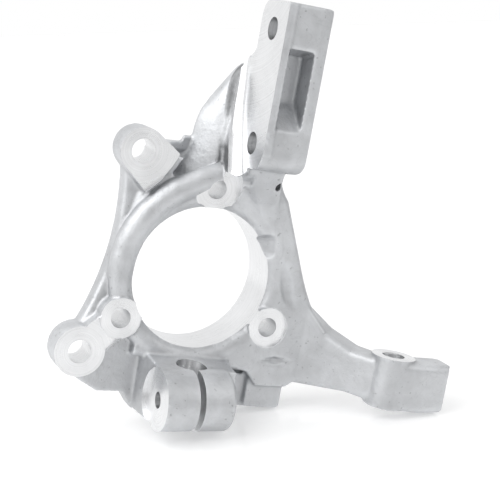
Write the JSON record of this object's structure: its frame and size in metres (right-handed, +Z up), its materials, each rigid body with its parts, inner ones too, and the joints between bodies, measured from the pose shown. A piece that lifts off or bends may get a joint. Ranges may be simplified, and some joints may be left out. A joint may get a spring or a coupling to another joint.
{
  "type": "steering knuckle",
  "caption": "Cast aluminium steering knuckle for a strut suspension: hub bore with bolt holes, caliper ears, strut tongue, ball joint clamp and steering arm.",
  "frame": {"origin": "centre of the hub bore on the outboard flange face", "axes": "+Y along the hub axis towards the wheel, +Z up as the part stands, +X towards the steering arm"},
  "size_m": [0.2538, 0.0845, 0.2703],
  "materials": {
    "cast_aluminium": "satin cast skin with bright machined faces"
  },
  "bodies": {
    "root": {"knuckle": "cast_aluminium"}
  },
  "joints": []
}
